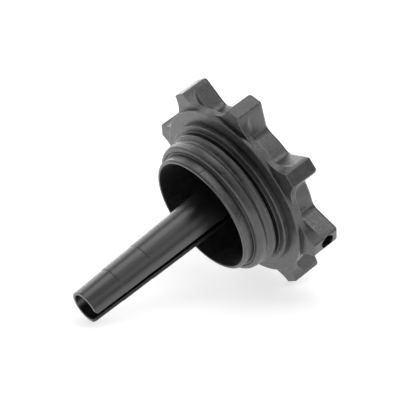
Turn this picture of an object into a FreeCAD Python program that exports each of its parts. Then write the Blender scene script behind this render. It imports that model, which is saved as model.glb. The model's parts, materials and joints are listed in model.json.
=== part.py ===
import FreeCAD, Part
import math
import os

import Sketcher
from FreeCAD import Placement, Rotation, Vector

# Power steering reservoir cap: a star-grip head on a ringed, hollow neck, with a
# ribbed rubber sleeve, a flat rubber gasket and a slotted tubular dipstick.
# Millimetres. Each sub-part is drawn about the cap's own axis, local Z, which runs
# from the open mouth (0) to the top of the head. Local X points midway between the
# two lobes that the cap lies on. One placement then lays the whole cap down.

os.makedirs("parts", exist_ok=True)
doc = FreeCAD.newDocument("reservoir_cap")

sizes = {
    # Neck: a thin tube, open at the mouth
    "neck_radius": 17.9,
    "neck_wall": 1.0,
    "bore_taper": 0.6,
    "lip_step": 0.5,
    "lip_length": 0.45,
    "lip_edge_radius": 0.12,
    "shoulder_gap": 1.0,
    "shoulder_step": 3.2,
    # Flange disc and star head
    "flange_face": 12.15,
    "flange_radius": 26.3,
    "lobe_setback": 1.2,
    "head_height": 10.45,
    "roof_wall": 3.0,
    "lobe_count": 8,
    "lobe_reach": 4.7,
    "lobe_tip_width": 4.7,
    "lobe_root_width": 8.6,
    "lobe_corner_radius": 0.6,
    "lobe_flare_radius": 8.2,
    "scoop_web": 1.65,
    "scoop_depth": 4.0,
    "scoop_corner_radius": 2.2,
    "scoop_foot_radius": 2.4,
    "grip_edge_radius": 0.3,
    "top_edge_radius": 1.2,
    "front_edge_radius": 0.25,
    "flange_edge_radius": 0.2,
    "dish_radius": 15.0,
    "dish_depth": 0.5,
    "dish_slope": 1.2,
    # Vent: a round pit in one lobe's end and a fine passage on into the bore
    "vent_lobe": 6,
    "vent_rise": 5.0,
    "vent_wall": 0.2,
    "vent_depth": 9.0,
    "vent_passage_radius": 0.8,
    # Socket in the roof of the bore, and the dipstick's plug in it
    "socket_wall": 1.65,
    "socket_depth": 3.2,
    "plug_step": 0.8,
    "plug_length": 3.0,
    "plug_clearance": 0.05,
    # Ribbed rubber sleeve on the neck
    "sleeve_start": 3.1,
    "sleeve_end": 8.75,
    "sleeve_wall": 2.7,
    "sleeve_back_step": 0.2,
    "sleeve_edge_radius": 0.2,
    "groove_start": 5.9,
    "groove_width": 1.95,
    "groove_wall_share": 3,
    # Flat rubber gasket under the flange
    "gasket_width": 1.4,
    "gasket_thickness": 1.75,
    "gasket_edge_radius": 0.25,
    # Dipstick: a tapered tube with a lengthwise slot and two level steps
    "stick_reach": 42.9,
    "stick_root_radius": 6.4,
    "stick_upper_radius": 5.5,
    "stick_lower_radius": 5.22,
    "stick_tip_radius": 4.85,
    "stick_wall": 0.8,
    "stick_lean": 1.36,
    "stick_root_shift": 0.2,
    "lean_azimuth": -35.0,
    "slot_azimuth": -51.0,
    "slot_angle": 62.0,
    "slot_root_gap": 2.0,
    "slot_corner_radius": 1.0,
    "level_step": 0.1,
    "upper_level": 21.9,
    "lower_level": 32.6,
}

sheet = doc.addObject("Spreadsheet::Sheet", "sizes")
for row, (alias, number) in enumerate(sizes.items(), start=1):
    sheet.set(f"A{row}", alias)
    sheet.set(f"B{row}", str(number))
    sheet.setAlias(f"B{row}", alias)
doc.recompute()


class Dim:
    """A number and the sheet expression that gives it, so that both stay in step."""

    def __init__(self, number, text):
        self.number = number
        self.text = text

    def joined(self, other, sign, number):
        return Dim(number, f"({self.text} {sign} {other.text})")

    def __add__(self, other):
        return self.joined(other, "+", self.number + other.number)

    def __sub__(self, other):
        return self.joined(other, "-", self.number - other.number)

    def __mul__(self, other):
        return self.joined(other, "*", self.number * other.number)

    def __truediv__(self, other):
        return self.joined(other, "/", self.number / other.number)

    def __neg__(self):
        return Dim(-self.number, f"(0 - {self.text})")


def dim(alias):
    """Read one driving dimension from the sheet."""
    return Dim(float(sheet.get(alias)), f"sizes.{alias}")


def plain(number):
    """Wrap a plain number, such as the 2 that halves a width."""
    return Dim(float(number), str(number))


def cosine(angle):
    return Dim(math.cos(math.radians(angle.number)), f"cos({angle.text})")


def sine(angle):
    return Dim(math.sin(math.radians(angle.number)), f"sin({angle.text})")


def root(square):
    return Dim(math.sqrt(square.number), f"sqrt({square.text})")


ZERO = plain(0)
TWO = plain(2)
AXIS_OVERSHOOT = plain(1)  # how far a cutting profile starts outside the solid
LEVEL = 1e-4  # how close two points count as one
NEAR = 0.05  # how close two lengths count as the same when edges are picked
HALF_PITCH = plain(180) / dim("lobe_count")

# Radii that follow from the neck, each one step or wall further in or out
mouth_radius = dim("neck_radius") - dim("neck_wall")
bore_end_radius = mouth_radius - dim("bore_taper")
lip_radius = dim("neck_radius") - dim("lip_step")
sleeve_radius = dim("neck_radius") + dim("sleeve_wall")
sleeve_back_radius = sleeve_radius + dim("sleeve_back_step")
shoulder_radius = dim("neck_radius") + dim("shoulder_step")
gasket_radius = shoulder_radius + dim("gasket_width")
lobe_radius = dim("flange_radius") + dim("lobe_reach")
floor_radius = dim("flange_radius") - dim("scoop_depth")
plug_radius = dim("stick_root_radius") + dim("plug_step")
seat_radius = plug_radius + dim("plug_clearance")

# Heights along the axis that follow from the flange's face
plate_front = dim("flange_face") + dim("lobe_setback")
scoop_start = plate_front + dim("scoop_web")
head_top = dim("flange_face") + dim("head_height")
bore_depth = head_top - dim("roof_wall")
shoulder_start = dim("sleeve_end") + dim("shoulder_gap")
groove_end = dim("groove_start") + dim("groove_width")


def new_body(label):
    body = doc.addObject("PartDesign::Body", label)
    body.Label = label
    return body


def origin_feature(body, role):
    """Find one of a body's own origin planes or axes by its role."""
    return next(item for item in body.Origin.OriginFeatures if item.Role == role)


def new_sketch(body, name, role, offset=Placement()):
    """Add a sketch on one of the body's origin planes, moved by a fixed offset."""
    sketch = body.newObject("Sketcher::SketchObject", name)
    sketch.AttachmentSupport = [(origin_feature(body, role), "")]
    sketch.MapMode = "FlatFace"
    sketch.AttachmentOffset = offset
    return sketch


def bind(sketch, constraint, length):
    """Add a constraint and tie it to the sheet."""
    index = sketch.addConstraint(constraint)
    sketch.setExpression(f"Constraints[{index}]", length.text)


def pin_point(sketch, edge, end, point):
    """Hold one end of an edge at a point given by two dims."""
    across, along = point
    bind(sketch, Sketcher.Constraint("DistanceX", -1, 1, edge, end, across.number), across)
    bind(sketch, Sketcher.Constraint("DistanceY", -1, 1, edge, end, along.number), along)


def vector(point):
    return Vector(point[0].number, point[1].number, 0)


def arc_between(start, end, radius, side):
    """Circle arc from start to end; side +1 has its centre left of the way there."""
    first, last = vector(start), vector(end)
    chord = last - first
    middle = (first + last) * 0.5
    left = Vector(-chord.y, chord.x, 0).normalize()
    height = math.sqrt(radius.number ** 2 - (chord.Length / 2) ** 2)
    centre = middle + left * (height * side)
    crown = centre + (middle - centre).normalize() * radius.number
    return Part.Arc(first, crown, last)


def arc_ends(sketch, arc, start):
    """Tell which end of a drawn arc, 1 or 2, lies at its start point, start first."""
    at_first = sketch.getPoint(arc, 1).distanceToPoint(start) < LEVEL
    return (1, 2) if at_first else (2, 1)


def outline(sketch, points, arcs=None):
    """Draw a closed outline through points given as dims. Sides are straight, but for
    those in arcs, which gives their radius and the side their centre lies on."""
    ends = []
    count = len(points)
    for index, point in enumerate(points):
        following = points[(index + 1) % count]
        if arcs and index in arcs:
            radius, side = arcs[index]
            edge = sketch.addGeometry(arc_between(point, following, radius, side), False)
            ends.append(arc_ends(sketch, edge, vector(point)))
            bind(sketch, Sketcher.Constraint("Radius", edge, radius.number), radius)
        else:
            edge = sketch.addGeometry(Part.LineSegment(vector(point), vector(following)), False)
            ends.append((1, 2))
        pin_point(sketch, edge, ends[index][0], point)
    for index in range(count):
        following = (index + 1) % count
        sketch.addConstraint(Sketcher.Constraint(
            "Coincident", index, ends[index][1], following, ends[following][0]))


def revolve(body, name, sketch, kind="PartDesign::Revolution"):
    """Turn a sketch about its own vertical axis, as a solid or as a cut."""
    feature = body.newObject(kind, name)
    feature.Profile = sketch
    feature.ReferenceAxis = (sketch, ["V_Axis"])
    feature.Angle = 360
    return feature


def pad(body, name, sketch, length):
    feature = body.newObject("PartDesign::Pad", name)
    feature.Profile = sketch
    feature.setExpression("Length", length.text)
    return feature


def pocket(body, name, sketch, length, reverse):
    feature = body.newObject("PartDesign::Pocket", name)
    feature.Profile = sketch
    feature.Reversed = reverse
    feature.setExpression("Length", length.text)
    return feature


def around(body, name, feature, count):
    """Repeat a feature evenly about the cap's axis."""
    pattern = body.newObject("PartDesign::PolarPattern", name)
    pattern.Originals = [feature]
    pattern.Axis = (origin_feature(body, "Z_Axis"), [""])
    pattern.Angle = 360
    pattern.setExpression("Occurrences", count.text)
    body.Tip = pattern
    return pattern


def edges_where(feature, test):
    """Name the edges of a feature's shape that pass a test."""
    doc.recompute()
    return [f"Edge{i + 1}" for i, edge in enumerate(feature.Shape.Edges) if test(edge)]


def round_edges(body, name, base, test, radius):
    """Fillet the edges of a feature that pass a test."""
    feature = body.newObject("PartDesign::Fillet", name)
    feature.Base = (base, edges_where(base, test))
    feature.setExpression("Radius", radius.text)
    return feature


def edge_heights(edge):
    box = edge.BoundBox
    return box.ZMin, box.ZMax


def lies_at(edge, height):
    """True for an edge that lies flat at one height."""
    low, high = edge_heights(edge)
    return abs(low - height.number) < LEVEL and abs(high - height.number) < LEVEL


def middle_radius(edge):
    """Distance of an edge's middle point from the cap's axis."""
    middle = edge.valueAt((edge.FirstParameter + edge.LastParameter) / 2)
    return math.hypot(middle.x, middle.y)


def is_upright(edge):
    low, high = edge_heights(edge)
    return edge.Curve.TypeId == "Part::GeomLine" and edge.Length - (high - low) < LEVEL


# Cap body: the turned core, from the lip of the neck to the top of the head
cap_body = new_body("cap_body")
core_outline = new_sketch(cap_body, "core_outline", "XZ_Plane")
outline(core_outline, [
    (ZERO, ZERO),
    (lip_radius, ZERO),
    (dim("neck_radius"), dim("lip_length")),
    (dim("neck_radius"), shoulder_start),
    (shoulder_radius, shoulder_start),
    (shoulder_radius, dim("flange_face")),
    (dim("flange_radius"), dim("flange_face")),
    (dim("flange_radius"), head_top),
    (dim("dish_radius") + dim("dish_slope"), head_top),
    (dim("dish_radius"), head_top - dim("dish_depth")),
    (ZERO, head_top - dim("dish_depth")),
])
revolve(cap_body, "core", core_outline)

# Cap body: one lobe with its flared flanks, then all of them
lobe_turn = Rotation(Vector(0, 0, 1), HALF_PITCH.number)
lobe_offset = Placement(Vector(0, 0, plate_front.number), lobe_turn)
lobe_outline = new_sketch(cap_body, "lobe_outline", "XY_Plane", lobe_offset)
lobe_outline.setExpression("AttachmentOffset.Base.z", plate_front.text)
lobe_outline.setExpression("AttachmentOffset.Rotation.Angle", HALF_PITCH.text)


def lobe_flank(sketch, tip_line, tip_end, side):
    """Draw the corner and flare arcs on one side of a lobe; return the flare's edge."""
    corner, flare = dim("lobe_corner_radius"), dim("lobe_flare_radius")
    foot, tip = dim("flange_radius"), lobe_radius
    corner_x = tip.number - corner.number
    corner_y = dim("lobe_tip_width").number / 2 - corner.number
    reach = foot.number + flare.number
    gap = flare.number + corner.number
    spread = math.hypot(corner_x, corner_y)
    turn = math.acos((reach ** 2 + spread ** 2 - gap ** 2) / (2 * reach * spread))
    angle = turn + math.atan2(corner_y, corner_x)
    flare_centre = Vector(reach * math.cos(angle), side * reach * math.sin(angle), 0)
    corner_centre = Vector(corner_x, side * corner_y, 0)
    meet = corner_centre + (flare_centre - corner_centre) * (corner.number / gap)
    tip_point = Vector(tip.number, side * corner_y, 0)
    foot_point = flare_centre * (foot.number / reach)
    middle_way = (tip_point + meet) * 0.5 - corner_centre
    corner_crown = corner_centre + middle_way.normalize() * corner.number
    flare_way = (meet + foot_point) * 0.5 - flare_centre
    flare_crown = flare_centre + flare_way.normalize() * flare.number
    corner_arc = sketch.addGeometry(Part.Arc(tip_point, corner_crown, meet), False)
    flare_arc = sketch.addGeometry(Part.Arc(meet, flare_crown, foot_point), False)
    spoke = sketch.addGeometry(Part.LineSegment(Vector(0, 0, 0), flare_centre), True)
    ends = arc_ends(sketch, corner_arc, tip_point), arc_ends(sketch, flare_arc, meet)
    (corner_first, corner_last), (flare_first, flare_last) = ends
    tangent = Sketcher.Constraint("Tangent", tip_line, tip_end, corner_arc, corner_first)
    sketch.addConstraint(tangent)
    sketch.addConstraint(
        Sketcher.Constraint("Tangent", corner_arc, corner_last, flare_arc, flare_first))
    bind(sketch, Sketcher.Constraint("Radius", corner_arc, corner.number), corner)
    bind(sketch, Sketcher.Constraint("Radius", flare_arc, flare.number), flare)
    sketch.addConstraint(Sketcher.Constraint("Coincident", spoke, 1, -1, 1))
    sketch.addConstraint(Sketcher.Constraint("Coincident", spoke, 2, flare_arc, 3))
    sketch.addConstraint(Sketcher.Constraint("PointOnObject", flare_arc, flare_last, spoke))
    bind(sketch, Sketcher.Constraint("Distance", spoke, reach), foot + flare)
    return flare_arc, flare_last


half_tip = dim("lobe_tip_width") / TWO - dim("lobe_corner_radius")
tip_low = (lobe_radius, -half_tip)
tip_high = (lobe_radius, half_tip)
tip_edge = lobe_outline.addGeometry(Part.LineSegment(vector(tip_low), vector(tip_high)), False)
pin_point(lobe_outline, tip_edge, 1, tip_low)
pin_point(lobe_outline, tip_edge, 2, tip_high)
low_flare, low_end = lobe_flank(lobe_outline, tip_edge, 1, -1)
high_flare, high_end = lobe_flank(lobe_outline, tip_edge, 2, 1)
foot_line = lobe_outline.addGeometry(Part.LineSegment(
    lobe_outline.getPoint(low_flare, low_end), lobe_outline.getPoint(high_flare, high_end)), False)
lobe_outline.addConstraint(Sketcher.Constraint("Coincident", foot_line, 1, low_flare, low_end))
lobe_outline.addConstraint(Sketcher.Constraint("Coincident", foot_line, 2, high_flare, high_end))
lobe = pad(cap_body, "lobe", lobe_outline, head_top - plate_front)
doc.recompute()
around(cap_body, "lobes", lobe, dim("lobe_count"))

# Cap body: the finger scoops between the lobes, open at the top of the head
scoop_offset = Placement(Vector(0, 0, scoop_start.number), Rotation())
scoop_outline = new_sketch(cap_body, "scoop_outline", "XY_Plane", scoop_offset)
scoop_outline.setExpression("AttachmentOffset.Base.z", scoop_start.text)
half_root = dim("lobe_root_width") / TWO
root_along = root(floor_radius * floor_radius - half_root * half_root)
flank_slope = (half_root - dim("lobe_tip_width") / TWO) / (lobe_radius - root_along)
outer_along = lobe_radius + TWO
outer_half = dim("lobe_tip_width") / TWO - flank_slope * TWO


def flank_point(along, aside, side):
    """A point at a distance along and aside of a lobe's middle, seen from the scoop."""
    across = along * cosine(HALF_PITCH) + aside * sine(HALF_PITCH)
    up = along * sine(HALF_PITCH) - aside * cosine(HALF_PITCH)
    return across, up if side > 0 else -up


scoop_points = [
    flank_point(root_along, half_root, 1),
    flank_point(outer_along, outer_half, 1),
    flank_point(outer_along, outer_half, -1),
    flank_point(root_along, half_root, -1),
]
floor_side = len(scoop_points) - 1
outline(scoop_outline, scoop_points, {floor_side: (floor_radius, 1)})
scoop_length = head_top - scoop_start + AXIS_OVERSHOOT
scoop = pocket(cap_body, "scoop", scoop_outline, scoop_length, True)
doc.recompute()
scoops = around(cap_body, "scoops", scoop, dim("lobe_count"))


def is_scoop_root(edge):
    """The upright inner corner where a lobe's flank meets the scoop's floor."""
    return is_upright(edge) and abs(middle_radius(edge) - floor_radius.number) < NEAR


def is_outer_wall(edge):
    """An arc that follows the flared outer wall of the head."""
    outer = (dim("lobe_flare_radius").number, dim("flange_radius").number)
    return edge.Curve.TypeId == "Part::GeomCircle" and any(
        abs(edge.Curve.Radius - radius) < NEAR for radius in outer)


def is_scoop_foot(edge):
    """The foot of the scoop's flanks and floor."""
    return lies_at(edge, scoop_start) and not is_outer_wall(edge)


def is_scoop_rim(edge):
    """The outer edge of the scoop's foot, midway between two lobes."""
    at_rim = abs(middle_radius(edge) - dim("flange_radius").number) < NEAR
    return lies_at(edge, scoop_start) and at_rim


def is_top_outline(edge):
    """The star-shaped outer edge of the head's top."""
    inner = dim("dish_radius") + dim("dish_slope") + AXIS_OVERSHOOT
    return lies_at(edge, head_top) and middle_radius(edge) > inner.number


def is_flange_edge(edge):
    """The round front edge of the flange disc."""
    at_rim = abs(middle_radius(edge) - dim("flange_radius").number) < NEAR
    return lies_at(edge, dim("flange_face")) and at_rim


def is_lip_edge(edge):
    """The round edges at the mouth of the neck."""
    low, high = edge_heights(edge)
    return high < dim("lip_length").number + NEAR and high - low < NEAR


scoop_roots = round_edges(
    cap_body, "scoop_roots", scoops, is_scoop_root, dim("scoop_corner_radius"))
scoop_feet = round_edges(
    cap_body, "scoop_feet", scoop_roots, is_scoop_foot, dim("scoop_foot_radius"))
scoop_rims = round_edges(
    cap_body, "scoop_rims", scoop_feet, is_scoop_rim, dim("grip_edge_radius"))
top_rounding = round_edges(
    cap_body, "top_rounding", scoop_rims, is_top_outline, dim("top_edge_radius"))
round_edges(
    cap_body, "flange_rounding", top_rounding, is_flange_edge, dim("flange_edge_radius"))

# Cap body: the soft front edge of each lobe's end face, cut across the lobe
soft_edge = dim("front_edge_radius")
across_lobe = Placement(Vector(), Rotation(Vector(0, 1, 0), HALF_PITCH.number))
soft_outline = new_sketch(cap_body, "soft_outline", "XZ_Plane", across_lobe)
soft_outline.setExpression("AttachmentOffset.Rotation.Angle", HALF_PITCH.text)
arc_side = 0
outline(soft_outline, [
    (lobe_radius - soft_edge, plate_front),
    (lobe_radius, plate_front + soft_edge),
    (lobe_radius + AXIS_OVERSHOOT, plate_front + soft_edge),
    (lobe_radius + AXIS_OVERSHOOT, plate_front - AXIS_OVERSHOOT),
    (lobe_radius - soft_edge, plate_front - AXIS_OVERSHOOT),
], {arc_side: (soft_edge, 1)})
soft_front = pocket(cap_body, "soft_front", soft_outline, dim("lobe_root_width"), False)
soft_front.Midplane = True
doc.recompute()
around(cap_body, "soft_fronts", soft_front, dim("lobe_count"))

# Cap body: the bore, with the dipstick's socket left standing in its roof
socket_mouth = bore_depth - dim("socket_depth")
bore_outline = new_sketch(cap_body, "bore_outline", "XZ_Plane")
outline(bore_outline, [
    (ZERO, -AXIS_OVERSHOOT),
    (mouth_radius, -AXIS_OVERSHOOT),
    (mouth_radius, ZERO),
    (bore_end_radius, bore_depth),
    (seat_radius + dim("socket_wall"), bore_depth),
    (seat_radius + dim("socket_wall"), socket_mouth),
    (seat_radius, socket_mouth),
    (seat_radius, bore_depth),
    (ZERO, bore_depth),
])
bore = revolve(cap_body, "bore", bore_outline, "PartDesign::Groove")
round_edges(cap_body, "lip_rounding", bore, is_lip_edge, dim("lip_edge_radius"))

# Cap body: the vent, bored inward from the end of one lobe
vent_azimuth = (TWO * dim("vent_lobe") + plain(1)) * HALF_PITCH
vent_radius = dim("lobe_tip_width") / TWO - dim("vent_wall")
vent_way = Rotation(Vector(0, 0, 1), vent_azimuth.number) * Rotation(Vector(0, 1, 0), 90)
vent_place = (
    lobe_radius * cosine(vent_azimuth),
    lobe_radius * sine(vent_azimuth),
    plate_front + dim("vent_rise"),
)


def vent_cut(name, radius, length):
    """Bore a round hole inward from the lobe's end face."""
    offset = Placement(Vector(*[part.number for part in vent_place]), vent_way)
    sketch = new_sketch(cap_body, name + "_outline", "XY_Plane", offset)
    for letter, part in zip("xyz", vent_place):
        sketch.setExpression(f"AttachmentOffset.Base.{letter}", part.text)
    circle = sketch.addGeometry(Part.Circle(Vector(0, 0, 0), Vector(0, 0, 1), radius.number), False)
    sketch.addConstraint(Sketcher.Constraint("Coincident", circle, 3, -1, 1))
    bind(sketch, Sketcher.Constraint("Radius", circle, radius.number), radius)
    pocket(cap_body, name, sketch, length, False)


vent_cut("vent_pit", vent_radius, dim("vent_depth"))
vent_run = lobe_radius - bore_end_radius + AXIS_OVERSHOOT
vent_cut("vent_passage", dim("vent_passage_radius"), vent_run)

# Neck seal: a rubber sleeve with two lands and a round groove between them
neck_seal = new_body("neck_seal")
seal_outline = new_sketch(neck_seal, "seal_outline", "XZ_Plane")
half_groove = dim("groove_width") / TWO
groove_depth = dim("sleeve_wall") / dim("groove_wall_share")
groove_radius = (half_groove * half_groove + groove_depth * groove_depth) / (TWO * groove_depth)
groove_side = 0
outline(seal_outline, [
    (sleeve_radius, dim("groove_start")),
    (sleeve_radius, groove_end),
    (sleeve_back_radius, groove_end),
    (sleeve_back_radius, dim("sleeve_end")),
    (dim("neck_radius"), dim("sleeve_end")),
    (dim("neck_radius"), dim("sleeve_start")),
    (sleeve_radius, dim("sleeve_start")),
], {groove_side: (groove_radius, -1)})
seal_ring = revolve(neck_seal, "seal_ring", seal_outline)


def is_seal_corner(edge):
    """The outer corners at the two ends of the sleeve."""
    low, high = edge_heights(edge)
    ends = (dim("sleeve_start").number, dim("sleeve_end").number)
    return high - low < NEAR and edge.BoundBox.XMax > sleeve_radius.number - NEAR and any(
        abs(low - end) < NEAR for end in ends)


round_edges(
    neck_seal, "seal_rounding", seal_ring, is_seal_corner, dim("sleeve_edge_radius"))

# Flange gasket: a flat rubber ring on the neck's shoulder, against the flange
flange_gasket = new_body("flange_gasket")
gasket_outline = new_sketch(flange_gasket, "gasket_outline", "XZ_Plane")
gasket_start = dim("flange_face") - dim("gasket_thickness")
outline(gasket_outline, [
    (shoulder_radius, gasket_start),
    (gasket_radius, gasket_start),
    (gasket_radius, dim("flange_face")),
    (shoulder_radius, dim("flange_face")),
])
gasket_ring = revolve(flange_gasket, "gasket_ring", gasket_outline)


def is_gasket_corner(edge):
    """The gasket's outer corner on the neck's side."""
    return lies_at(edge, gasket_start) and abs(
        edge.BoundBox.XMax - gasket_radius.number) < NEAR


round_edges(
    flange_gasket, "gasket_rounding", gasket_ring, is_gasket_corner, dim("gasket_edge_radius"))

# Dipstick: a plug in the socket, then the tube, which leans a little off the axis
dipstick = new_body("dipstick")
plug_start = bore_depth - dim("plug_length")
plug_outline = new_sketch(dipstick, "plug_outline", "XZ_Plane")
outline(plug_outline, [
    (ZERO, plug_start),
    (plug_radius, plug_start),
    (plug_radius, bore_depth),
    (ZERO, bore_depth),
])
revolve(dipstick, "plug", plug_outline)

lean_turn = Rotation(Vector(0, 0, 1), dim("lean_azimuth").number)
lean_tilt = Rotation(Vector(0, 1, 0), -dim("stick_lean").number)
stick_way = lean_turn * lean_tilt
stick_root = lean_turn.multVec(Vector(-dim("stick_root_shift").number, 0, plug_start.number))
upright = Placement(Vector(), Rotation(Vector(1, 0, 0), 90))
tube_offset = upright.inverse() * Placement(stick_root, stick_way) * upright
tube_outline = new_sketch(dipstick, "tube_outline", "XZ_Plane", tube_offset)
tube_length = plug_start + dim("stick_reach")
upper_drop = plug_start + dim("upper_level")
lower_drop = plug_start + dim("lower_level")
wall = dim("stick_wall")
level_step = dim("level_step")
outline(tube_outline, [
    (ZERO, AXIS_OVERSHOOT),
    (dim("stick_root_radius"), AXIS_OVERSHOOT),
    (dim("stick_root_radius"), ZERO),
    (dim("stick_upper_radius"), -upper_drop),
    (dim("stick_upper_radius") - level_step, -upper_drop),
    (dim("stick_lower_radius"), -lower_drop),
    (dim("stick_lower_radius") - level_step, -lower_drop),
    (dim("stick_tip_radius"), -tube_length),
    (dim("stick_tip_radius") - wall, -tube_length),
    (dim("stick_root_radius") - wall, -wall),
    (ZERO, -wall),
])
revolve(dipstick, "tube", tube_outline)

slot_base = stick_root + stick_way.multVec(Vector(0, 0, -(tube_length + AXIS_OVERSHOOT).number))
slot_outline = new_sketch(dipstick, "slot_outline", "XY_Plane", Placement(slot_base, stick_way))
slot_middle = dim("slot_azimuth") - dim("lean_azimuth")
half_slot = dim("slot_angle") / TWO
slot_reach = dim("stick_root_radius") + AXIS_OVERSHOOT


def slot_corner(turn, reach):
    """A point of the slot's sector, at a turn from its middle."""
    angle = slot_middle + turn
    return reach * cosine(angle), reach * sine(angle)


outline(slot_outline, [
    (ZERO, ZERO),
    slot_corner(-half_slot, slot_reach),
    slot_corner(ZERO, slot_reach / cosine(half_slot)),
    slot_corner(half_slot, slot_reach),
])
slot_length = tube_length + AXIS_OVERSHOOT - dim("slot_root_gap")
slot = pocket(dipstick, "slot", slot_outline, slot_length, True)


def is_slot_corner(edge):
    """The short edges across the wall at the slot's two ends."""
    return edge.Curve.TypeId == "Part::GeomLine" and abs(edge.Length - wall.number) < NEAR


round_edges(
    dipstick, "slot_rounding", slot, is_slot_corner, dim("slot_corner_radius"))

# Pose: the cap lies on the front corners of two lobes and on the dipstick's tip
SURFACE_STEP = 0.02  # how closely points follow the surfaces that it lies on
doc.recompute()
cap_points = cap_body.Shape.tessellate(SURFACE_STEP)[0]
stick_points = dipstick.Shape.tessellate(SURFACE_STEP)[0]


def tip_above_lobes(angle):
    """Height of the dipstick's lowest point over the lobes' for a lean of the cap."""
    up = Vector(-math.cos(angle), 0, math.sin(angle))
    lowest_cap = min(point.dot(up) for point in cap_points)
    return min(point.dot(up) for point in stick_points) - lowest_cap


# The lean at which the tip and the lobes touch one level plane, found by halving
low_lean, high_lean = 0.0, math.radians(60)
for _ in range(40):
    middle_lean = (low_lean + high_lean) / 2
    if tip_above_lobes(middle_lean) > 0:
        low_lean = middle_lean
    else:
        high_lean = middle_lean
laid_down = Rotation(Vector(0, 1, 0), 90 - math.degrees(low_lean))

bodies = (cap_body, neck_seal, flange_gasket, dipstick)
for body in bodies:
    body.Placement = Placement(Vector(), laid_down)
doc.recompute()
whole = Part.makeCompound([body.Shape for body in bodies]).optimalBoundingBox(False, False)
shift = Vector(-whole.Center.x, 0, -whole.ZMin)
for body in bodies:
    body.Placement = Placement(shift, laid_down)
doc.recompute()

for item in doc.Objects:
    if "Invalid" in item.State or "Error" in item.State:
        raise RuntimeError(f"{item.Name} did not compute: {item.State}")
for body in bodies:
    if body.Shape.isNull() or not body.Shape.isValid() or len(body.Shape.Solids) != 1:
        raise RuntimeError(f"{body.Label} is not one valid solid")
for body in bodies:
    body.Shape.exportStep(f"parts/{body.Label}.step")
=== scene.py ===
import json
import math

import bmesh
import bpy
from mathutils import Matrix, Vector


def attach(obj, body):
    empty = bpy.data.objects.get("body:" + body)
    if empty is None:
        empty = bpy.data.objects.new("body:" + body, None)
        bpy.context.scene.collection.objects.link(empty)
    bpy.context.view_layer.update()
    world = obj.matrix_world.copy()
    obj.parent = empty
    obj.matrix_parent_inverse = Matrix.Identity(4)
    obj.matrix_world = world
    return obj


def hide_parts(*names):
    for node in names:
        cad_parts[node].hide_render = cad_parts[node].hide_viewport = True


# Power steering reservoir cap, dressed and lit. Metres, in the frame of the CAD part.
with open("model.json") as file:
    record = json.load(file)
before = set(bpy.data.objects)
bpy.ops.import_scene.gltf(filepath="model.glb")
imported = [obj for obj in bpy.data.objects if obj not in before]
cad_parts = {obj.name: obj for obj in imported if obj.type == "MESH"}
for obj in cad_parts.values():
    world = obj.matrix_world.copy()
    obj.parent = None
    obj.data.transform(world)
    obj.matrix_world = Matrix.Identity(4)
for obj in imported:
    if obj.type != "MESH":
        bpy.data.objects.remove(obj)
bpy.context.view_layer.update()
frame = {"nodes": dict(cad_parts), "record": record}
nodes = frame["nodes"]
MM = 0.001

# The cap's own axes: Z from the mouth to the head, X down to the side it lies on
SEAL_HEIGHT = 4.6 * MM  # from the mouth to the seal's mount, along the axis
seal_land = next(m for m in frame["record"]["mounts"] if m["name"] == "seal_land")
axis = -Vector(seal_land["axis"]).normalized()
mouth = Vector(seal_land["pos_m"]) - axis * SEAL_HEIGHT
down = Vector((axis.z, 0, -axis.x))
aside = axis.cross(down)
cap_frame = Matrix.Translation(mouth) @ Matrix((down, aside, axis)).transposed().to_4x4()


# Node helpers
class Nodes:
    """A short way to write a material's or world's node tree."""

    def __init__(self, tree):
        self.tree = tree
        tree.nodes.clear()

    def add(self, kind, inputs=None, **settings):
        node = self.tree.nodes.new(kind)
        for name, value in settings.items():
            setattr(node, name, value)
        for name, value in (inputs or {}).items():
            self.set(node, name, value)
        return node

    def set(self, node, name, value):
        if isinstance(value, bpy.types.NodeSocket):
            self.tree.links.new(value, node.inputs[name])
        else:
            node.inputs[name].default_value = value

    def math(self, operation, first, second=0.0, clamp=False):
        node = self.add("ShaderNodeMath", {0: first, 1: second}, operation=operation)
        node.use_clamp = clamp
        return node.outputs[0]

    def ramp(self, value, low, high, to_low=0.0, to_high=1.0):
        node = self.add("ShaderNodeMapRange", {
            "Value": value, "From Min": low, "From Max": high,
            "To Min": to_low, "To Max": to_high})
        return node.outputs[0]

    def noise(self, place, size, detail=2.0, roughness=0.5):
        node = self.add("ShaderNodeTexNoise", {
            "Vector": place, "Scale": 1 / size, "Detail": detail, "Roughness": roughness})
        return node.outputs["Fac"]

    def shades(self, factor, dark, light):
        node = self.add("ShaderNodeMix", data_type="RGBA")
        self.set(node, 0, factor)
        self.set(node, 6, dark if isinstance(dark, bpy.types.NodeSocket) else (*dark, 1))
        self.set(node, 7, light if isinstance(light, bpy.types.NodeSocket) else (*light, 1))
        return node.outputs[2]

    def mixed(self, factor, first, second):
        node = self.add("ShaderNodeMixShader", {0: factor, 1: first, 2: second})
        return node.outputs[0]

    def finish(self, kind, surface):
        output = self.add(kind)
        self.set(output, "Surface", surface)


# Materials
# Painted highlight: the light grey that outer edges are lightened towards.
HIGHLIGHT_GREY = (0.20, 0.20, 0.20)
# Painted shade: the near black that creases and hollows are darkened towards.
PAINTED_SHADE_GREY = (0.003, 0.003, 0.003)
DUST_GREY = (0.32, 0.32, 0.31)
MOTTLE_SIZE = 3.5 * MM
CLOUD_SIZE = 0.9 * MM
DUST_SPACING = 1.6 * MM
EDGE_ROUNDING = 0.25 * MM
HIGHLIGHT_BAND = 0.5 * MM  # how far from an edge the painted highlight reaches
CREASE_REACH = 1.0 * MM
HOLLOW_REACH = 16 * MM
WAVE_HEIGHT = 0.03 * MM


def openness(tree, reach):
    """1 where a surface lies open, less where others stand within reach of it."""
    return tree.add("ShaderNodeAmbientOcclusion", {"Distance": reach}, samples=8).outputs["AO"]


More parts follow.
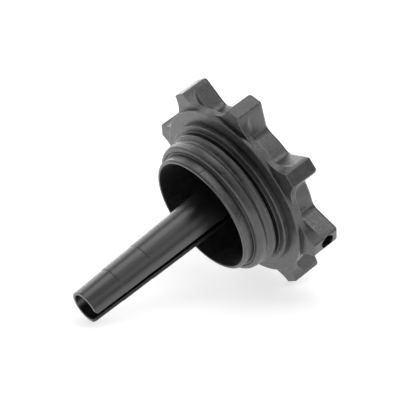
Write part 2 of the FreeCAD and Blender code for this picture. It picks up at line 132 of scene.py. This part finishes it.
def outer_edges(tree, near_open):
    """1 along outer edges, where a wide rounding would turn the surface most, for a painted
    highlight.
    """
    wide_edge = tree.add("ShaderNodeBevel", {"Radius": HIGHLIGHT_BAND}, samples=6)
    true_normal = tree.add("ShaderNodeNewGeometry").outputs["Normal"]
    turned_by = tree.add("ShaderNodeVectorMath", {
        0: wide_edge.outputs["Normal"], 1: true_normal}, operation="DOT_PRODUCT")
    return tree.math("MULTIPLY", tree.ramp(turned_by.outputs["Value"], 0.995, 0.90),
                     tree.ramp(near_open, 0.80, 0.98), clamp=True)


def dust_specks(tree, place):
    """1 on a few fine specks."""
    specks = tree.add("ShaderNodeTexVoronoi", {"Vector": place, "Scale": 1 / DUST_SPACING})
    near = tree.ramp(specks.outputs["Distance"], 0.035, 0.055, 1.0, 0.0)
    chosen = tree.ramp(specks.outputs["Color"], 0.80, 0.82)
    return tree.math("MULTIPLY", near, chosen, clamp=True)


def fine_relief(tree, grain, grain_height, mottle):
    """The normal of softly rounded edges, with grain and low waves on the faces."""
    rounded = tree.add("ShaderNodeBevel", {"Radius": EDGE_ROUNDING}, samples=6)
    bump = tree.add("ShaderNodeBump", {
        "Height": grain, "Distance": grain_height, "Strength": 0.8,
        "Normal": rounded.outputs["Normal"]})
    waves = tree.add("ShaderNodeBump", {
        "Height": mottle, "Distance": WAVE_HEIGHT, "Strength": 0.35,
        "Normal": bump.outputs["Normal"]})
    return waves.outputs["Normal"]


def moulded(name, dark, light, gloss, uneven, grain_size, grain_height, sheen, edge_highlight):
    """A satin moulded surface, mottled from dark to light, with a painted highlight on outer
    edges, painted shade in creases and hollows, and dust. Its roughness is gloss, give or take
    uneven."""
    material = bpy.data.materials.new(name)
    material.use_nodes = True
    tree = Nodes(material.node_tree)
    place = tree.add("ShaderNodeTexCoord").outputs["Object"]
    mottle = tree.noise(place, MOTTLE_SIZE, 4.0, 0.6)
    grain = tree.noise(place, grain_size)
    cloud = tree.noise(place, CLOUD_SIZE, 3.0, 0.65)
    patches = tree.math("ADD", tree.math("MULTIPLY", mottle, 0.45),
                        tree.math("MULTIPLY", cloud, 0.55))
    colour = tree.shades(tree.ramp(patches, 0.38, 0.62), dark, light)

    near_open = openness(tree, CREASE_REACH)
    far_open = openness(tree, HOLLOW_REACH)
    # Painted highlight: outer edges lightened towards a light grey, standing in for light caught
    # by rounded edges.
    highlight_share = tree.math("MULTIPLY", outer_edges(tree, near_open), edge_highlight)
    colour = tree.shades(highlight_share, colour, HIGHLIGHT_GREY)
    # Painted shade: creases within a millimetre, and the hollow of the cup, darkened towards
    # near black.
    colour = tree.shades(tree.ramp(near_open, 0.45, 0.95), PAINTED_SHADE_GREY, colour)
    colour = tree.shades(tree.ramp(far_open, 0.15, 0.5), PAINTED_SHADE_GREY, colour)
    colour = tree.shades(dust_specks(tree, place), colour, DUST_GREY)

    rough = tree.ramp(cloud, 0.3, 0.7, gloss - uneven, gloss + uneven)
    shader = tree.add("ShaderNodeBsdfPrincipled", {
        "Base Color": colour, "Roughness": rough, "IOR": 1.5, "Specular IOR Level": 1.0,
        "Sheen Weight": sheen, "Sheen Roughness": 0.3,
        "Normal": fine_relief(tree, grain, grain_height, mottle)})
    tree.finish("ShaderNodeOutputMaterial", shader.outputs[0])
    return material


finishes = {
    "cap_body": moulded(
        "cap_plastic", dark=(0.004, 0.004, 0.0045), light=(0.050, 0.050, 0.051), gloss=0.38,
        uneven=0.11, grain_size=0.55 * MM, grain_height=0.10 * MM, sheen=0.35, edge_highlight=0.8),
    "neck_seal": moulded(
        "seal_rubber", dark=(0.008, 0.008, 0.0085), light=(0.060, 0.060, 0.061), gloss=0.40,
        uneven=0.11, grain_size=0.50 * MM, grain_height=0.10 * MM, sheen=0.5, edge_highlight=0.8),
    "flange_gasket": moulded(
        "gasket_rubber", dark=(0.010, 0.010, 0.0105), light=(0.066, 0.066, 0.067), gloss=0.40,
        uneven=0.11, grain_size=0.50 * MM, grain_height=0.10 * MM, sheen=0.5, edge_highlight=0.8),
    "dipstick": moulded(
        "stick_plastic", dark=(0.018, 0.018, 0.0185), light=(0.030, 0.030, 0.031), gloss=0.34,
        uneven=0.04, grain_size=0.45 * MM, grain_height=0.03 * MM, sheen=0.0, edge_highlight=0.1),
}
line_finish = moulded(
    "line_shadow", dark=(0.002, 0.002, 0.002), light=(0.003, 0.003, 0.003), gloss=0.70,
    uneven=0.0, grain_size=0.50 * MM, grain_height=0.02 * MM, sheen=0.0, edge_highlight=0.0)
for node_name, finish in finishes.items():
    piece = nodes[node_name]
    piece.data.materials.clear()
    piece.data.materials.append(finish)


# Pieces drawn in the cap's own millimetres, with heights from the mouth
RING_STEPS = 360
SHARP_ANGLE = math.radians(32)


def add_piece(name, points, faces, finish):
    """A mesh from points along the cap's own axes, with smooth faces and sharp edges."""
    mesh = bpy.data.meshes.new(name)
    mesh.from_pydata([cap_frame @ (Vector(point) * MM) for point in points], [], faces)
    shell = bmesh.new()
    shell.from_mesh(mesh)
    bmesh.ops.remove_doubles(shell, verts=shell.verts, dist=1e-7)
    bmesh.ops.recalc_face_normals(shell, faces=shell.faces)
    shell.to_mesh(mesh)
    shell.free()
    mesh.shade_smooth()
    mesh.set_sharp_from_angle(angle=SHARP_ANGLE)
    mesh.materials.append(finish)
    piece = bpy.data.objects.new(name, mesh)
    bpy.context.scene.collection.objects.link(piece)
    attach(piece, "root")
    return piece


def turned_ring(name, outline, finish):
    """A ring about the cap's axis, from its outline as (radius, height) pairs."""
    points = []
    faces = []
    count = len(outline)
    for step in range(RING_STEPS):
        angle = math.tau * step / RING_STEPS
        points += [(r * math.cos(angle), r * math.sin(angle), z) for r, z in outline]
        here, there = step * count, (step + 1) % RING_STEPS * count
        for i in range(count):
            j = (i + 1) % count
            faces.append((here + i, here + j, there + j, there + i))
    return add_piece(name, points, faces, finish)


# The rubber sleeve: a thin lip on the neck, a step, a softly rounded nose, a round
# groove and the land behind it
SLEEVE_BORE = 17.9
SLEEVE_BACK = 8.75
LAND = 20.8
FRONT_LAND = 20.35
GROOVE_START = 5.65
GROOVE_PITCH = 0.22  # between the groove's points
GROOVE_DEPTH = 0.75
GROOVE_STEPS = 10
lip = [(SLEEVE_BORE, 3.12), (17.98, 3.02), (18.32, 3.0), (18.45, 3.1)]
step_back = [(18.5, 3.4), (18.72, 3.4)]
nose = [(18.8, 3.16), (19.4, 3.22), (19.75, 3.36), (20.0, 3.62), (20.15, 4.0), (20.28, 4.8),
        (FRONT_LAND, 5.6)]
groove = [(FRONT_LAND - GROOVE_DEPTH * math.sin(math.pi * i / GROOVE_STEPS),
           GROOVE_START + GROOVE_PITCH * i) for i in range(1, GROOVE_STEPS)]
back_land = [(20.7, 7.88), (LAND, 7.98), (LAND, 8.67), (20.72, SLEEVE_BACK),
             (SLEEVE_BORE, SLEEVE_BACK)]
sleeve = turned_ring("rubber_sleeve", lip + step_back + nose + groove + back_land,
                     finishes["neck_seal"])
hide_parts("neck_seal")

# A fine mould line along the neck, from the lip to the sleeve
LINE_AZIMUTH = math.radians(-156.8)
LINE_HALF_WIDTH = 0.006  # radians
LINE_HEIGHTS = (0.5, 3.1)
LINE_RADII = (17.85, 17.94)  # below the neck's skin and just above it
line_points = []
for height in LINE_HEIGHTS:
    for radius in LINE_RADII:
        for turn in (-LINE_HALF_WIDTH, LINE_HALF_WIDTH):
            line_points.append((radius * math.cos(LINE_AZIMUTH + turn),
                                radius * math.sin(LINE_AZIMUTH + turn), height))
line_faces = [(0, 1, 3, 2), (4, 6, 7, 5), (0, 4, 5, 1), (2, 3, 7, 6), (0, 2, 6, 4), (1, 5, 7, 3)]
add_piece("mould_line", line_points, line_faces, line_finish)

# Floor and surroundings: white to the eye and in reflections, with a soft shadow
PAPER_GREY = 0.80  # of the floor, in the light that it throws back on the cap
BRIGHT_GREY = 0.55  # of the floor where it is seen or mirrored, which glows as well
NEAR_GLOW = 0.72  # beside the cap, so that its shadow shows
FULL_GLOW = 1.0
NEAR, FAR = 0.15, 0.6  # between them the floor's glow rises, in metres from the middle
FLOOR_HALF = 3.0
AROUND_GLOW = 0.05
WALL_TOP = 0.08  # how high above the horizon mirrored white ends, as the sine of its angle


def ray_kinds(tree):
    """1 for a ray from the camera, and 1 for one from a mirror or through glass."""
    path = tree.add("ShaderNodeLightPath")
    mirrored = tree.math("MAXIMUM", path.outputs["Is Glossy Ray"],
                         path.outputs["Is Transmission Ray"])
    return path.outputs["Is Camera Ray"], mirrored


def paper(tree, grey, glow):
    """White paper: its own grey, and light that comes through it."""
    sheet = tree.add("ShaderNodeBsdfDiffuse", {"Color": (grey, grey, grey, 1)})
    table = tree.add("ShaderNodeEmission", {"Color": (1, 1, 1, 1), "Strength": glow})
    both = tree.add("ShaderNodeAddShader", {0: sheet.outputs[0], 1: table.outputs[0]})
    return both.outputs[0]


def floor_material():
    material = bpy.data.materials.new("floor_white")
    material.use_nodes = True
    tree = Nodes(material.node_tree)
    away = tree.add("ShaderNodeVectorMath", {
        0: tree.add("ShaderNodeNewGeometry").outputs["Position"]}, operation="LENGTH")
    glow_in_view = tree.ramp(away.outputs["Value"], NEAR, FAR, NEAR_GLOW, FULL_GLOW)
    in_view, mirrored = ray_kinds(tree)
    indirect = tree.mixed(mirrored, paper(tree, PAPER_GREY, 0.0),
                          paper(tree, BRIGHT_GREY, FULL_GLOW))
    tree.finish("ShaderNodeOutputMaterial",
                tree.mixed(in_view, indirect, paper(tree, BRIGHT_GREY, glow_in_view)))
    return material


floor_mesh = bpy.data.meshes.new("floor")
corners = [(-1, -1), (1, -1), (1, 1), (-1, 1)]
floor_mesh.from_pydata([(x * FLOOR_HALF, y * FLOOR_HALF, 0) for x, y in corners],
                       [], [(0, 1, 2, 3)])
floor_mesh.materials.append(floor_material())
floor = bpy.data.objects.new("floor", floor_mesh)
bpy.context.scene.collection.objects.link(floor)

world = bpy.data.worlds.new("studio")
world.use_nodes = True
sky = Nodes(world.node_tree)
around = sky.add("ShaderNodeBackground", {"Color": (1, 1, 1, 1), "Strength": AROUND_GLOW})
backdrop = sky.add("ShaderNodeBackground", {"Color": (1, 1, 1, 1), "Strength": FULL_GLOW})
way = sky.add("ShaderNodeSeparateXYZ", {0: sky.add("ShaderNodeTexCoord").outputs["Generated"]})
wall = sky.ramp(way.outputs["Z"], 0.0, WALL_TOP, 1.0, 0.0)
in_view, mirrored = ray_kinds(sky)
white_share = sky.math("MAXIMUM", in_view, sky.math("MULTIPLY", mirrored, wall))
sky.finish("ShaderNodeOutputWorld",
           sky.mixed(white_share, around.outputs[0], backdrop.outputs[0]))
bpy.context.scene.world = world


# Lamps
def softbox(name, place, width, height, power):
    """A soft rectangular lamp at place, turned to the cap."""
    light = bpy.data.lights.new(name, "AREA")
    light.shape = "RECTANGLE"
    light.size = width
    light.size_y = height
    light.energy = power
    lamp = bpy.data.objects.new(name, light)
    lamp.location = place
    lamp.rotation_mode = "QUATERNION"
    lamp.rotation_quaternion = (CAP_MIDDLE - Vector(place)).to_track_quat("-Z", "Y")
    bpy.context.scene.collection.objects.link(lamp)


CAP_MIDDLE = Vector((0.005, 0, 0.025))
BOX_WIDTH, BOX_HEIGHT = 0.4, 0.35
softbox("top", (0.04, 0.05, 0.67), 0.5, 0.4, power=1.4)
softbox("top_right", (0.23, -0.24, 0.59), BOX_WIDTH, BOX_HEIGHT, power=1.1)
softbox("back_left", (-0.08, 0.56, 0.35), BOX_WIDTH, BOX_HEIGHT, power=1.0)
softbox("back", (0.34, 0.45, 0.35), BOX_WIDTH, BOX_HEIGHT, power=1.05)
softbox("back_low", (0.30, 0.58, 0.12), 0.45, 0.12, power=0.75)
softbox("front_right", (0.09, -0.56, 0.35), BOX_WIDTH, BOX_HEIGHT, power=0.4)
softbox("left", (-0.45, 0.34, 0.35), BOX_WIDTH, BOX_HEIGHT, power=0.2)
softbox("right", (0.45, -0.34, 0.28), BOX_WIDTH, BOX_HEIGHT, power=0.2)

# Camera: a long lens where the photo's was, placed in the cap's own axes
LENS = 198  # millimetres
SENSOR = 36  # millimetres
NEAREST = 0.05
AXIS_LEAN = math.radians(66.49)  # between the cap's axis and the line of sight
AXIS_TURN = math.radians(36.64)  # of the cap's axis in the picture, above level
STAR_TURN = math.radians(125.0)  # of the side that the cap lies on, about its axis
MOUTH_IN_VIEW = Vector((0.165, -4.29, -605.0)) * MM  # right, up and back from the camera
turned = (Matrix.Rotation(AXIS_TURN, 4, "Z") @ Matrix.Rotation(-AXIS_LEAN, 4, "Y")
          @ Matrix.Rotation(math.pi, 4, "X") @ Matrix.Rotation(STAR_TURN, 4, "Z"))
camera_data = bpy.data.cameras.new("camera")
camera_data.lens = LENS
camera_data.sensor_width = SENSOR
camera_data.clip_start = NEAREST
camera = bpy.data.objects.new("camera", camera_data)
camera.matrix_world = cap_frame @ (Matrix.Translation(MOUTH_IN_VIEW) @ turned).inverted()
bpy.context.scene.collection.objects.link(camera)
bpy.context.scene.camera = camera

bpy.context.scene.view_settings.view_transform = "Standard"
